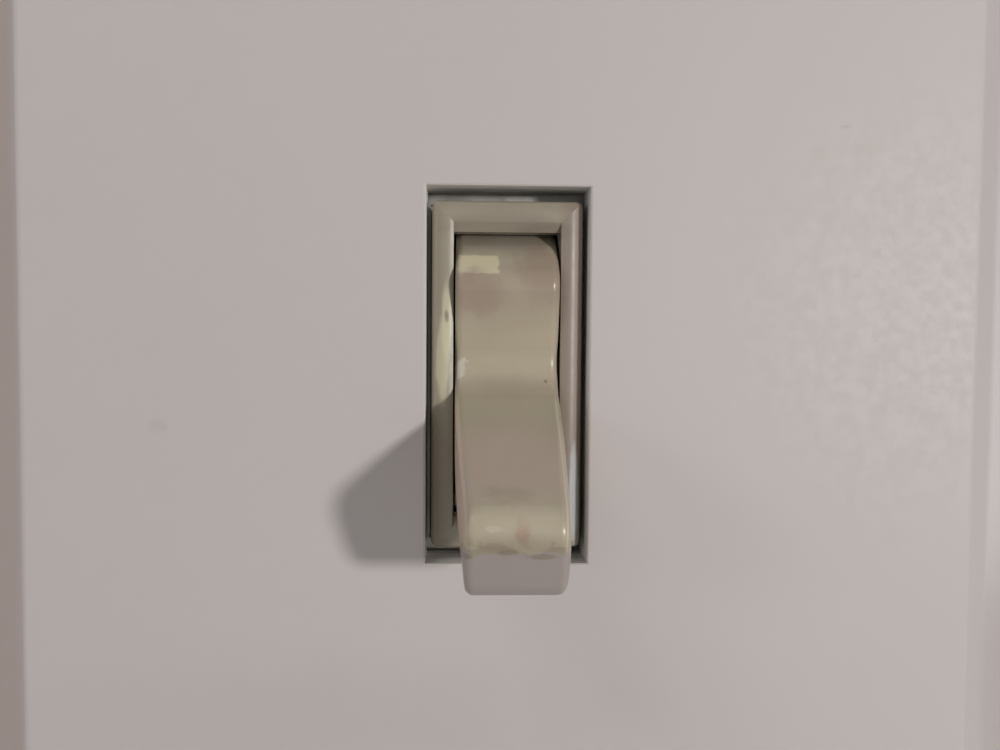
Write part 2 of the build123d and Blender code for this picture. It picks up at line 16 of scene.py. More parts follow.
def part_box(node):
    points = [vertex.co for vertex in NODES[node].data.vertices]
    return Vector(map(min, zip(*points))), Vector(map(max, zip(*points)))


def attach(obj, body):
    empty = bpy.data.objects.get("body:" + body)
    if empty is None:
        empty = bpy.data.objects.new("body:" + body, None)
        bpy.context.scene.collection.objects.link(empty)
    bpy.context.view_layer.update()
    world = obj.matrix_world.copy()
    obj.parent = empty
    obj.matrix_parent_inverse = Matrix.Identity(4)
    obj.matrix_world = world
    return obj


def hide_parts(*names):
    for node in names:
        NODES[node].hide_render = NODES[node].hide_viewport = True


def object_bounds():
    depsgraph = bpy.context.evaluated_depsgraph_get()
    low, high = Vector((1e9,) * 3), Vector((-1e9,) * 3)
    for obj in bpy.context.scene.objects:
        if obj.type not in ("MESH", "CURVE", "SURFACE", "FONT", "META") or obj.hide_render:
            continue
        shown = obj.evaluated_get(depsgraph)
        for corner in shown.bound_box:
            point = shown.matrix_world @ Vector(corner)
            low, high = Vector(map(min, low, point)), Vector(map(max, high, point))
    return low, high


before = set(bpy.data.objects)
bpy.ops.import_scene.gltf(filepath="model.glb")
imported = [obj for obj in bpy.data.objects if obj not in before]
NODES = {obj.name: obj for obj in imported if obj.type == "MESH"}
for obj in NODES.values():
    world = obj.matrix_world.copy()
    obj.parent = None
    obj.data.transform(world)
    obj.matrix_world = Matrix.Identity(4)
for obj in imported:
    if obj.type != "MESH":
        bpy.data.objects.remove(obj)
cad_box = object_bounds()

bl_info = {
    "name": "Toggle Wall Switch",
    "version": (1, 0, 0),
    "blender": (4, 5, 0),
    "location": "View3D > Sidebar > Wall Switch",
    "description": "Finishes a toggle wall switch and its plate, and sets its stage",
    "category": "Object",
}

MM = 0.001
PLATE_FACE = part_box("wall_plate")[0].y

# The lever at rest: its pivot's depth, its tilt, and how its half width shrinks along the handle.
PIVOT_DEPTH = 1.85 * MM
LEVER_TILT = math.radians(24.8)
WAIST_REACH = 9.4 * MM
HANDLE_TAPER = 0.0375

# The screws' grids, and the slots cut in their heads (mm).
ROWS_PER_TURN = 8
POINT_TURNS = 0.7
POINT_SHARE = 0.75
SLOT_HALF_WIDTH = 0.45
SLOT_REACH = 6.0

# The camera: tilt, pan and roll in degrees, and its place from the middle of the plate's face (mm).
CAMERA_TURNS = (2.71, 2.40, -0.32)
CAMERA_PLACE = (-2.97, -59.5, 2.90)

# The floor: half its side, and the distances between which its own glow comes up.
FLOOR_HALF = 3.0
GLOW_RANGE = (0.10, 0.7)


def srgb(red, green, blue):
    """The linear colour of an 8-bit sRGB one, each channel through the sRGB curve."""
    channels = np.array((red, green, blue), float) / 255
    linear = np.where(channels <= 0.04045, channels / 12.92, ((channels + 0.055) / 1.055) ** 2.4)
    return tuple(linear)


class Mark(NamedTuple):
    """A stain, rubbed spot or chip, or a painted patch of light or shade: where it lies, in mm, its
    colour, and how its edge runs.
    """
    centre: tuple
    size: tuple     # half its width, depth and height
    tint: tuple
    amount: float   # share of the tint over the colour below
    ragged: float   # how far noise moves the edge, as a share of the size
    grain: float    # scale of that noise
    soft: float     # width of the edge, as a share of the size
    shape: str = "Round"


class ScrewShape(NamedTuple):
    """A kind of screw, in mm from the top of its head."""
    head: np.ndarray        # rows of depth and radius
    thread_start: float
    end: float
    radius: float           # outside its thread
    hexagon_rows: int = 0   # how many of the head's rows are hexagons


class Screw(NamedTuple):
    """A screw in place of a CAD node. Axes are 0, 1 and 2 for X, Y and Z."""
    node: str
    kind: str
    axis: int           # the axis that it lies along
    toward: int         # 1 or -1, the way its tip points
    slot_axis: int      # the axis that the slot in its head runs along
    slot_depth: float   # mm
    slot: str           # material slot of the record; not used


class Lamp(NamedTuple):
    """A round lamp that faces the opening."""
    name: str
    place: tuple
    size: float
    colour: tuple
    cone: float = 0.0   # degrees; 0 for a lamp that is an open disc


SCREWS = [
    Screw("plate_screw_upper", "plate", 1, 1, 2, 1.35, "plate_screw"),
    Screw("box_screw_upper", "box", 1, 1, 0, 0.9, "screw_steel"),
    Screw("plate_screw_lower", "plate", 1, 1, 2, 1.35, "plate_screw"),
    Screw("box_screw_lower", "box", 1, 1, 0, 0.9, "screw_steel"),
    Screw("line_terminal_screw", "terminal", 0, -1, 1, 0.9, "brass"),
    Screw("load_terminal_screw", "terminal", 0, -1, 1, 0.9, "brass"),
    Screw("ground_screw", "ground", 0, 1, 1, 0.9, "ground_green"),
]

# Each lamp with the stage setting that gives its power. The key lamp's cone keeps it off the floor.
LAMPS = {
    "key": Lamp("key_lamp", (0.235, -0.365, 0.018), 0.040, (1.0, 0.97, 0.95), 36),
    "side": Lamp("side_lamp", (-0.55, -0.41, 0.10), 0.20, (0.95, 0.97, 1.0)),
    "top": Lamp("top_lamp", (-0.30, -0.30, 0.45), 0.35, (1.0, 0.97, 0.94)),
    "back": Lamp("back_lamp", (0.25, 0.45, 0.30), 0.30, (1.0, 0.98, 0.96)),
}


def colour_setting(name, description, value):
    """A colour that the user can change."""
    return FloatVectorProperty(
        name=name, description=description, subtype="COLOR", size=3, min=0, max=1, default=value)


def finish_setting(name, description, value):
    """A finish value between 0 and 1."""
    return FloatProperty(
        name=name, description=description, subtype="FACTOR", min=0, max=1, default=value)


def length_setting(name, description, value):
    """A length in metres."""
    return FloatProperty(
        name=name, description=description, unit="LENGTH", subtype="DISTANCE", default=value)


def power_setting(name, description, value):
    """A lamp's power in watts."""
    return FloatProperty(name=name, description=description, unit="POWER", min=0, default=value)


class PlateSettings(bpy.types.PropertyGroup):
    """Finish of the wall plate and its screws."""
    colour: colour_setting("Plate colour", "Colour of the moulded plate", srgb(194, 187, 185))
    gloss: finish_setting("Plate roughness", "Roughness of the moulded plate", 0.5)
    # This strength scales the hand marks and also the painted shade, highlight and light on the
    # bevels and the opening's walls.
    dirt_and_shade: finish_setting("Dirt", "Strength of the hand marks on the plate", 0.5)


class LeverSettings(bpy.types.PropertyGroup):
    """Finish of the lever and the cover with its collar."""
    ivory: colour_setting("Ivory", "Colour of the aged ivory plastic", srgb(176, 166, 145))
    collar: colour_setting("Collar colour", "Colour of the cover and collar", srgb(158, 150, 134))
    worn: colour_setting("Worn colour", "Colour of the lever's worn end", srgb(160, 150, 150))
    gloss: finish_setting("Lever roughness", "Roughness of the lever", 0.3)
    # This strength scales the stains and wear, and also the painted shade, light, highlights and
    # reflections on the lever and the collar.
    wear: finish_setting("Wear", "Strength of the stains and the wear", 0.8)


class MetalSettings(bpy.types.PropertyGroup):
    """Finish of the metal pieces and the housing."""
    pitch: length_setting("Thread pitch", "Distance between two turns of a thread", 0.794 * MM)
    depth: length_setting("Thread depth", "Depth of the screws' threads", 0.40 * MM)
    steps: IntProperty(
        name="Steps", description="Steps round each screw", default=48, min=12, max=96)
    zinc: colour_setting("Zinc", "Colour of the strap's plating", (0.52, 0.51, 0.47))
    brass: colour_setting("Brass", "Colour of the terminals", (0.62, 0.43, 0.18))
    housing: colour_setting("Housing colour", "Colour of the housing", (0.030, 0.022, 0.018))


class StageSettings(bpy.types.PropertyGroup):
    """Light, floor and camera."""
    floor: colour_setting("Floor colour", "Colour of the floor", (0.62, 0.61, 0.59))
    sky: colour_setting("Background", "Colour of what is behind the floor", (0.60, 0.60, 0.59))
    glow: finish_setting("Floor glow", "How much of its own light the far floor gives", 0.75)
    world: finish_setting("World strength", "Strength of the even light", 0.20)
    key: power_setting("Key lamp", "Power of the narrow lamp on the right", 3.8)
    side: power_setting("Side lamp", "Power of the wide lamp on the left", 0.36)
    top: power_setting("Top lamp", "Power of the wide lamp above", 0.55)
    back: power_setting("Back lamp", "Power of the lamp behind", 2.0)
    lens: FloatProperty(
        name="Lens", description="Focal length of the camera", unit="CAMERA", default=34.2)


class Graph:
    """Adds nodes to one tree, each to the right of the last, and joins them."""

    def __init__(self, tree):
        self.tree = tree
        self.column = 0

    def node(self, kind, inputs=None, **settings):
        """A node with its settings, and its inputs joined to sockets or set to values."""
        made = self.tree.nodes.new(kind)
        self.column += 1
        made.location = (180 * self.column, -60 * (self.column % 5))
        for name, value in settings.items():
            setattr(made, name, value)
        for name, value in (inputs or {}).items():
            self.feed(made.inputs[name], value)
        return made

    def feed(self, socket, value):
        """Joins a socket to an input, or sets the input's own value."""
        if isinstance(value, bpy.types.NodeSocket):
            self.tree.links.new(value, socket)
        elif socket.type == "RGBA":
            socket.default_value = (*value[:3], 1)
        else:
            socket.default_value = value

    def math(self, operation, *numbers):
        """One number worked out from two or three."""
        return self.node("ShaderNodeMath", dict(enumerate(numbers)), operation=operation).outputs[0]

    def product(self, *numbers):
        """Two or more numbers multiplied."""
        result = numbers[0]
        for number in numbers[1:]:
            result = self.math("MULTIPLY", result, number)
        return result

    def vector(self, operation, first, second=(0, 0, 0)):
        """One vector or number worked out from two vectors."""
        made = self.node("ShaderNodeVectorMath", {0: first, 1: second}, operation=operation)
        return made.outputs["Value" if operation in ("LENGTH", "DOT_PRODUCT") else "Vector"]

    def parts(self, vector):
        """The three numbers of a vector."""
        return self.node("ShaderNodeSeparateXYZ", {0: vector}).outputs

    def noise(self, vector, scale, detail, rough):
        """Fractal noise from 0 to 1."""
        inputs = {"Vector": vector, "Scale": scale, "Detail": detail, "Roughness": rough}
        return self.node("ShaderNodeTexNoise", inputs).outputs[0]

    def ease(self, value, start, end, low=0.0, high=1.0):
        """Runs smoothly from low to high while the value runs from start to end."""
        inputs = {0: value, 1: start, 2: end, 3: low, 4: high}
        made = self.node("ShaderNodeMapRange", inputs, interpolation_type="SMOOTHSTEP")
        return made.outputs[0]

    def mix(self, factor, first, second):
        """Two colours mixed."""
        made = self.node("ShaderNodeMix", {0: factor, 6: first, 7: second}, data_type="RGBA")
        return made.outputs[2]

    def scaled(self, colour, tone):
        """A colour times a number."""
        made = self.node("ShaderNodeVectorMath", {0: colour, "Scale": tone}, operation="SCALE")
        return made.outputs[0]

    def group(self, name, **inputs):
        """One of the shared groups, with its named inputs."""
        made = self.node("ShaderNodeGroup", node_tree=shared_group(name))
        for key, value in inputs.items():
            self.feed(made.inputs[key.replace("_", " ")], value)
        return made.outputs


def new_group(name, inputs, outputs):
    """An empty shader node group with named sockets: its graph, its inputs and its outputs."""
    tree = bpy.data.node_groups.new(name, "ShaderNodeTree")
    for label, kind, value in inputs:
        socket = tree.interface.new_socket(
            name=label, in_out="INPUT", socket_type="NodeSocket" + kind)
        if value is not None:
            socket.default_value = value
    for label in outputs:
        tree.interface.new_socket(name=label, in_out="OUTPUT", socket_type="NodeSocketFloat")
    graph = Graph(tree)
    return graph, graph.node("NodeGroupInput").outputs, graph.node("NodeGroupOutput").inputs


def make_blotch():
    """Group: a ragged patch. Its round and square distance, moved by noise, eased into masks."""
    graph, given, out = new_group(
        "Blotch",
        [("Vector", "Vector", None), ("Centre", "Vector", (0, 0, 0)), ("Size", "Vector", (1, 1, 1)),
         ("Ragged", "Float", 0.3), ("Grain", "Float", 900.0), ("Soft", "Float", 0.2)],
        ["Round", "Square"],
    )
    offset = graph.vector("SUBTRACT", given["Vector"], given["Centre"])
    scaled = graph.vector("DIVIDE", offset, given["Size"])
    noise = graph.noise(given["Vector"], given["Grain"], detail=4.0, rough=0.6)
    push = graph.product(graph.math("SUBTRACT", noise, 0.5), given["Ragged"])
    x, y, z = graph.parts(graph.vector("ABSOLUTE", scaled))
    far = graph.math("MAXIMUM", graph.math("MAXIMUM", x, y), z)
    outer = graph.math("ADD", 1.0, given["Soft"])
    inner = graph.math("SUBTRACT", 1.0, given["Soft"])
    for label, distance in (("Round", graph.vector("LENGTH", scaled)), ("Square", far)):
        moved = graph.math("MULTIPLY_ADD", push, 2.0, distance)
        graph.feed(out[label], graph.ease(moved, inner, outer, 1.0, 0.0))


def make_mottle():
    """Group: wide noise with a quarter of fine noise, round 1, for tone; fine noise for relief."""
    graph, given, out = new_group(
        "Mottle",
        [("Vector", "Vector", None), ("Wide", "Float", 60.0), ("Fine", "Float", 900.0),
         ("Contrast", "Float", 0.1)],
        ["Tone", "Relief"],
    )
    wide = graph.noise(given["Vector"], given["Wide"], detail=3.0, rough=0.55)
    fine = graph.noise(given["Vector"], given["Fine"], detail=2.0, rough=0.5)
    both = graph.math("SUBTRACT", graph.math("MULTIPLY_ADD", fine, 0.25, wide), 0.625)
    graph.feed(out["Tone"], graph.math("MULTIPLY_ADD", both, given["Contrast"], 1.0))
    graph.feed(out["Relief"], fine)


def make_rolled_metal():
    """Group: noise drawn out along one way, as rolling leaves it, and clouds of tarnish."""
    graph, given, out = new_group(
        "Rolled metal",
        [("Vector", "Vector", None), ("Stretch", "Vector", (6000, 6000, 300)),
         ("Tarnish scale", "Float", 250.0)],
        ["Streak", "Tarnish"],
    )
    drawn = graph.vector("MULTIPLY", given["Vector"], given["Stretch"])
    graph.feed(out["Streak"], graph.noise(drawn, 1.0, detail=3.0, rough=0.6))
    clouds = graph.noise(given["Vector"], given["Tarnish scale"], detail=5.0, rough=0.62)
    graph.feed(out["Tarnish"], graph.ease(clouds, 0.5, 0.72))


GROUP_MAKERS = {"Blotch": make_blotch, "Mottle": make_mottle, "Rolled metal": make_rolled_metal}


def shared_group(name):
    """One of the shared groups, made when it is first asked for."""
    if name not in bpy.data.node_groups:
        GROUP_MAKERS[name]()
    return bpy.data.node_groups[name]


def new_material(name):
    """An empty node material: its graph, its Principled shader, and Object coordinates."""
    material = bpy.data.materials.new(name)
    material.use_nodes = True
    material.node_tree.nodes.clear()
    graph = Graph(material.node_tree)
    place = graph.node("ShaderNodeTexCoord").outputs["Object"]
    shader = graph.node("ShaderNodeBsdfPrincipled")
    graph.node("ShaderNodeOutputMaterial", {"Surface": shader.outputs[0]})
    return material, graph, shader, place


def relief(graph, shader, height, strength, distance):
    """A bump of a given height in metres on the shader's normal."""
    inputs = {"Height": height, "Strength": strength, "Distance": distance}
    graph.feed(shader.inputs["Normal"], graph.node("ShaderNodeBump", inputs).outputs[0])


def uneven(graph, noise, low, high, top=0.75):
    """A roughness that runs from low to high while the noise runs from 0.3 to top."""
    return graph.ease(noise, 0.3, top, low, high)


def patches(graph, place, colour, marks, strength):
    """Lays marks over a colour, one after another."""
    for mark in marks:
        mask = graph.group(
            "Blotch", Vector=place, Centre=Vector(mark.centre) * MM, Size=Vector(mark.size) * MM,
            Ragged=mark.ragged, Grain=mark.grain, Soft=mark.soft,
        )[mark.shape]
        colour = graph.mix(graph.product(mask, mark.amount * strength), colour, mark.tint)
    return colour


def dress(material, *pieces):
    """Gives pieces one material."""
    for piece in pieces:
        slots = piece.data.materials
        slots.clear()
        slots.append(material)


def dress_nodes(material, *names):
    """Gives CAD nodes one material."""
    dress(material, *(NODES[name] for name in names))


def plate_finish(settings):
    """Satin white plastic with faint mottling and hand marks; painted shade on the left bevel and
    the lower right bevel, a painted highlight on the right bevel, and painted light on the
    opening's walls.
    """
    material, graph, shader, place = new_material("satin_plate")
    tone, fine = graph.group("Mottle", Vector=place, Wide=35.0, Fine=1500.0, Contrast=0.06)
    # This colour serves the hand marks and also the painted shade on the lower right bevel.
    dirt_and_shade = srgb(140, 126, 118)
    ochre = srgb(160, 146, 118)
    brown = srgb(184, 162, 150)
    pale = srgb(228, 224, 220)
    marks = [
        Mark((21.15, -6.35, 15.85), (0.35, 9, 0.12), dirt_and_shade, 0.16, 0.9, 1800, 0.5),
        Mark((19.5, -6.35, 14.1), (0.5, 9, 0.4), ochre, 0.10, 0.9, 1500, 0.7),
        Mark((22.5, -6.35, 14.4), (1.2, 9, 0.4), ochre, 0.08, 0.9, 900, 0.7),
        Mark((-21.7, -6.35, -3.2), (0.5, 9, 0.3), dirt_and_shade, 0.12, 1.2, 1500, 0.7),
        Mark((-11.0, -6.35, -22.0), (14, 9, 3.2), dirt_and_shade, 0.08, 0.8, 200, 0.9),
        # painted shade: the left bevel, turned away from the key lamp, made browner and darker
        Mark((-33.4, -4.0, 0.0), (3.2, 3, 60), brown, 0.5, 0.1, 60, 0.2, "Square"),
        # painted shade: the lower part of the right bevel made darker
        Mark((34.4, -4.0, -24.0), (2.3, 3, 10), dirt_and_shade, 0.15, 0.1, 60, 0.3, "Square"),
        # painted highlight: the right bevel made paler from the middle upward
        Mark((34.4, -4.0, 22.0), (2.3, 3, 34), pale, 0.45, 0.1, 60, 0.2, "Square"),
        # painted light: the walls of the opening made pale, as if lit from below
        Mark((0.0, -4.9, 0.0), (5.25, 1.4, 12.0), pale, 1.0, 0.0, 60, 0.001, "Square"),
    ]
    colour = patches(graph, place, graph.scaled(settings.colour, tone), marks, settings.dirt_and_shade * 2)
    graph.feed(shader.inputs["Base Color"], colour)
    rough = uneven(graph, fine, settings.gloss * 0.9, settings.gloss * 1.15)
    graph.feed(shader.inputs["Roughness"], rough)
    shader.inputs["Specular IOR Level"].default_value = 0.3
    relief(graph, shader, fine, strength=0.08, distance=0.02 * MM)
    return material


def ivory_plastic(name, base, marks, rough, shine, strength, wide, under=None):
    """Glossy aged ivory with mottling, marks and a fine moulded skin; under tints it below them."""
    material, graph, shader, place = new_material(name)
    tone, fine = graph.group("Mottle", Vector=place, Wide=wide, Fine=1600.0, Contrast=0.14)
    colour = graph.scaled(base, tone)
    if under:
        colour = under(graph, place, colour, strength)
    colour = patches(graph, place, colour, marks, strength)
    graph.feed(shader.inputs["Base Color"], colour)
    rough = uneven(graph, fine, rough * 0.92, rough * 1.12, top=0.8)
    graph.feed(shader.inputs["Roughness"], rough)
    shader.inputs["Specular IOR Level"].default_value = shine
    relief(graph, shader, fine, strength=0.05, distance=0.003 * MM)
    return material


def handle_side_light_and_edge_highlight(graph, place, colour, strength):
    """Paints light on the handle's left side and a highlight along its right edge.

    Both follow the taper: w = x + 0.0375 (reach - 9.4 mm), with -x in place of x on the left. The
    painted light on the side starts where w passes 3.0 mm, and the painted highlight lies between
    2.9 and 3.0 mm.
    """
    along = Vector((0, -math.cos(LEVER_TILT), -math.sin(LEVER_TILT)))
    from_pivot = graph.vector("SUBTRACT", place, (0, PIVOT_DEPTH, 0))
    reach = graph.vector("DOT_PRODUCT", from_pivot, along)
    right = graph.parts(place)[0]
    taper = graph.product(graph.math("SUBTRACT", reach, WAIST_REACH), HANDLE_TAPER)
    handle = graph.ease(reach, 7.0 * MM, 9.5 * MM)
    side = graph.ease(graph.math("SUBTRACT", taper, right), 2.98 * MM, 3.06 * MM)
    # painted light: the left side of the handle made warmer and paler
    colour = graph.mix(graph.product(side, handle, 0.5 * strength), colour, srgb(232, 196, 168))
    edge = graph.math("ADD", taper, right)
    rise = graph.ease(edge, 2.88 * MM, 2.95 * MM)
    fall = graph.ease(edge, 2.98 * MM, 3.05 * MM, 1.0, 0.0)
    line = graph.product(rise, fall, handle, 0.55 * strength)
    # painted highlight: a pale line along the handle's right edge
    return graph.mix(line, colour, srgb(222, 214, 186))


def lever_finish(settings):
    """The lever's ivory with its stains, chips and worn end; painted shade under the collar's top
    edge and just above the worn end, a painted reflection on the dome, a painted highlight at the
    waist's left edge, and painted light on the lower handle.
    """
    cream_sheen = srgb(212, 204, 172)
    rose = srgb(150, 132, 118)
    blush = srgb(200, 178, 170)
    brown = srgb(128, 112, 98)
    white = srgb(206, 200, 190)
    dark = srgb(106, 102, 100)
    rust = srgb(152, 112, 88)
    moss = srgb(122, 112, 92)
    marks = [
        # painted shade: the top of the dome darkened where it runs under the collar's top edge
        Mark((0.0, -4.9, 9.3), (4.5, 4, 1.6), dark, 0.55, 0.5, 500, 0.6),
        Mark((0.3, -5.6, 5.2), (4.5, 4, 2.0), rose, 0.5, 0.5, 300, 0.6),
        Mark((0.0, -5.2, -0.7), (4.5, 4, 0.6), rose, 0.5, 0.5, 500, 0.7),
        Mark((-0.2, -14.5, -3.9), (3.6, 5, 3.2), blush, 0.5, 0.5, 300, 0.6),
        # painted reflection: a sharp-edged pale patch on the dome where a lamp is mirrored
        Mark((-1.85, -5.4, 7.05), (1.25, 4, 0.6), cream_sheen, 0.95, 0.2, 1600, 0.08, "Square"),
        Mark((-2.1, -6.1, 5.3), (1.9, 4, 1.2), rose, 0.85, 0.7, 600, 0.5),
        Mark((2.2, -5.4, 6.6), (1.4, 4, 1.8), rose, 0.8, 0.7, 600, 0.5),
        # painted highlight: a white spot at the left edge of the waist
        Mark((-2.9, -4.9, 0.5), (0.3, 4, 0.6), white, 0.8, 1.8, 1800, 0.3),
        Mark((2.48, -5.1, -0.35), (0.10, 4, 0.10), brown, 1.0, 0.3, 3000, 0.4),
        Mark((-0.3, -16.8, -5.7), (1.1, 4, 0.3), brown, 0.35, 1.6, 1200, 0.7),
        Mark((-1.3, -18.5, -7.1), (0.5, 4, 0.14), white, 0.4, 1.2, 1800, 0.4),
        Mark((0.25, -18.6, -7.4), (0.35, 4, 0.65), rust, 0.55, 1.3, 1300, 0.6),
        # painted light: the lower handle made paler
        Mark((0.0, -17.6, -6.4), (2.4, 4, 0.7), cream_sheen, 0.25, 0.6, 500, 0.6),
        # painted shade: the part of the handle just above the worn end made darker
        Mark((0.2, -18.6, -8.0), (2.7, 4, 0.5), brown, 0.4, 0.6, 600, 0.6),
        Mark((0.0, -19.2, -11.1), (6, 4.2, 3.0), moss, 0.5, 0.7, 700, 0.08, "Square"),
        Mark((0.0, -19.2, -11.1), (6, 3.9, 2.7), settings.worn, 0.95, 0.5, 600, 0.04, "Square"),
        Mark((-2.6, -18.8, -8.6), (0.3, 4, 0.16), moss, 0.7, 1.0, 1500, 0.5),
        Mark((-0.6, -18.8, -8.35), (0.5, 4, 0.14), moss, 0.7, 1.0, 1500, 0.5),
        Mark((1.2, -18.8, -8.6), (0.8, 4, 0.14), moss, 0.7, 1.0, 1500, 0.5),
    ]
    return ivory_plastic("lever_ivory", settings.ivory, marks, rough=settings.gloss, shine=0.5,
                         strength=settings.wear, wide=110.0, under=handle_side_light_and_edge_highlight)


def collar_finish(settings):
    """The cover's ivory, yellowed round the collar, with a few stains; painted light on the cover
    where it shows deep in the gaps, painted reflections on the ring, and painted shade on the
    collar's top slope and its lower left.
    """
    cover_gap_light = srgb(204, 202, 188)
    cream_sheen = srgb(206, 200, 172)
    brown = srgb(118, 104, 96)
    pale = srgb(196, 200, 202)
    rose = srgb(138, 122, 114)
    marks = [
        # painted light: the cover's surfaces deeper than the collar, seen in the dark gaps, made
        # pale
        Mark((0.0, 0.0, 0.0), (30, 4.0, 60), cover_gap_light, 0.9, 0.05, 100, 0.08, "Square"),
        # painted reflection: the lever's lit left side mirrored in the ring's left side (this line
        # and the next)
        Mark((-3.85, -5.3, 3.4), (0.32, 3, 2.4), cream_sheen, 0.9, 0.3, 700, 0.3),
        Mark((-4.1, -5.3, 1.0), (0.42, 3, 2.6), cream_sheen, 0.9, 0.3, 700, 0.25),
        Mark((-3.85, -5.3, 3.8), (0.14, 3, 0.35), brown, 0.8, 0.8, 1500, 0.4),
        # painted shade on the collar's top slope
        Mark((2.6, -5.2, 9.2), (2.0, 3, 0.5), brown, 0.45, 0.6, 900, 0.4),
        # painted reflection: the lever's right side mirrored in the ring's right side
        Mark((4.2, -5.3, 2.0), (1.0, 3, 10.5), rose, 0.85, 0.3, 300, 0.4),
        # painted shade on the collar's top slope
        Mark((-0.5, -5.3, 9.6), (3.6, 3, 0.7), brown, 0.35, 0.6, 500, 0.5),
        # painted reflection: a pale bluish sheen on the ring's lower right
        Mark((4.38, -5.3, -7.6), (0.3, 3, 3.0), pale, 0.8, 0.3, 700, 0.3),
        # painted shade: the ring's lower left, in the lever's shadow, made darker
        Mark((-4.1, -5.3, -7.6), (0.9, 3, 3.4), brown, 0.35, 0.5, 500, 0.6),
    ]
    return ivory_plastic("collar_ivory", settings.collar, marks, rough=settings.gloss * 1.15,
                         shine=0.3, strength=settings.wear, wide=90.0)


def painted_screw(base):
    """The plate screws' paint, thin and chipped to the steel where the driver rubs."""
    material, graph, shader, place = new_material("painted_screw")
    tone, fine = graph.group("Mottle", Vector=place, Wide=300.0, Fine=2500.0, Contrast=0.12)
    clouds = graph.noise(place, 1400.0, detail=3.0, rough=0.6)
    chip = graph.product(graph.ease(clouds, 0.62, 0.66), 0.85)
    bare_steel = (0.42, 0.41, 0.38)
    colour = graph.mix(chip, graph.scaled(base, tone), bare_steel)
    graph.feed(shader.inputs["Base Color"], colour)
    graph.feed(shader.inputs["Metallic"], chip)
    graph.feed(shader.inputs["Roughness"], uneven(graph, fine, 0.3, 0.48))
    relief(graph, shader, fine, strength=0.3, distance=0.02 * MM)
    return material


def sheet_metal(name, base, rough, stretch, tarnish, tarnish_scale=250.0):
    """Metal with drawn streaks in its roughness and relief, and clouds of dark, rough tarnish."""
    material, graph, shader, place = new_material(name)
    streak, cloud = graph.group(
        "Rolled metal", Vector=place, Stretch=stretch, Tarnish_scale=tarnish_scale)
    dull = tuple(0.45 * channel for channel in base)
    graph.feed(shader.inputs["Base Color"], graph.mix(graph.product(cloud, tarnish), base, dull))
    drawn = uneven(graph, streak, rough * 0.8, rough * 1.2, top=0.7)
    graph.feed(shader.inputs["Roughness"], graph.math("ADD", drawn, graph.product(cloud, 0.12)))
    shader.inputs["Metallic"].default_value = 1.0
    relief(graph, shader, streak, strength=0.3, distance=0.01 * MM)
    return material


def moulded(name, base, rough, contrast, fine_scale, depth):
    """Moulded or pressed material whose grain shows in tone, roughness and relief (depth in mm)."""
    material, graph, shader, place = new_material(name)
    tone, fine = graph.group(
        "Mottle", Vector=place, Wide=150.0, Fine=fine_scale, Contrast=contrast)
    graph.feed(shader.inputs["Base Color"], graph.scaled(base, tone))
    rough = uneven(graph, fine, rough * 0.85, rough * 1.2)
    graph.feed(shader.inputs["Roughness"], rough)
    relief(graph, shader, fine, strength=0.4, distance=depth * MM)
    return material


def piece_from_grid(name, points):
    """A closed mesh from rows of points: four-sided faces between rows, one over each end row."""
    rows, steps, _ = points.shape
    index = np.arange(rows * steps).reshape(rows, steps)
    here, there = index[:-1], index[1:]
    quads = np.stack([here, there, np.roll(there, -1, 1), np.roll(here, -1, 1)], axis=-1)
    faces = quads.reshape(-1, 4).tolist() + [index[0].tolist(), index[-1][::-1].tolist()]
    mesh = bpy.data.meshes.new(name)
    mesh.from_pydata(points.reshape(-1, 3).tolist(), [], faces)
    work = bmesh.new()
    work.from_mesh(mesh)
    bmesh.ops.recalc_face_normals(work, faces=work.faces)
    work.to_mesh(mesh)
    work.free()
    return link(name, mesh)


def link(name, data):
    """A new object in the scene."""
    made = bpy.data.objects.new(name, data)
    bpy.context.scene.collection.objects.link(made)
    return made


def smooth(piece, angle=32.0):
    """Shades a piece smooth, with its edges sharper than an angle left sharp."""
    mesh = piece.data
    mesh.polygons.foreach_set("use_smooth", np.ones(len(mesh.polygons), bool))
    mesh.set_sharp_from_angle(angle=math.radians(angle))


def cut_slot(piece, centre, half):
    """Cuts a straight slot, given by its centre and half its size, out of a screw's head."""
    signs = np.array([(x, y, z) for z in (-1, 1) for x, y in ((-1, -1), (1, -1), (1, 1), (-1, 1))])
    corners = np.asarray(centre) + signs * np.asarray(half)
    faces = [(0, 3, 2, 1), (4, 5, 6, 7), (0, 1, 5, 4), (1, 2, 6, 5), (2, 3, 7, 6), (3, 0, 4, 7)]
    mesh = bpy.data.meshes.new("slot_cutter")
    mesh.from_pydata(corners.tolist(), [], faces)
    cutter = link("slot_cutter", mesh)
    cut = piece.modifiers.new("slot", "BOOLEAN")
    cut.operation = "DIFFERENCE"
    cut.solver = "EXACT"
    cut.object = cutter
    bpy.context.view_layer.update()
    whole = piece.evaluated_get(bpy.context.evaluated_depsgraph_get())
    piece.data = bpy.data.meshes.new_from_object(whole)
    piece.modifiers.clear()
    bpy.data.objects.remove(cutter)


def dome_rows(radius, rise, count=9):
    """A domed head's profile: depth R (1 - cos a) and radius R sin a, with R = (r^2 + h^2) / 2h.

    The angle a starts just off the pole, where the mesh's end face closes the dome.
    """
    ball = (radius ** 2 + rise ** 2) / (2 * rise)
    turn = np.linspace(0.02, math.asin(radius / ball), count)
    return np.stack([ball * (1 - np.cos(turn)), ball * np.sin(turn)], axis=1)


def round_rows(radius, rise, count=6):
    """A flat head's profile: a small middle, then depth h (1 - cos a), radius r - h (1 - sin a)."""
    turn = np.linspace(0, math.pi / 2, count)
    rim = np.stack([rise * (1 - np.cos(turn)), radius - rise * (1 - np.sin(turn))], axis=1)
    return np.vstack([[0, 0.4], rim])


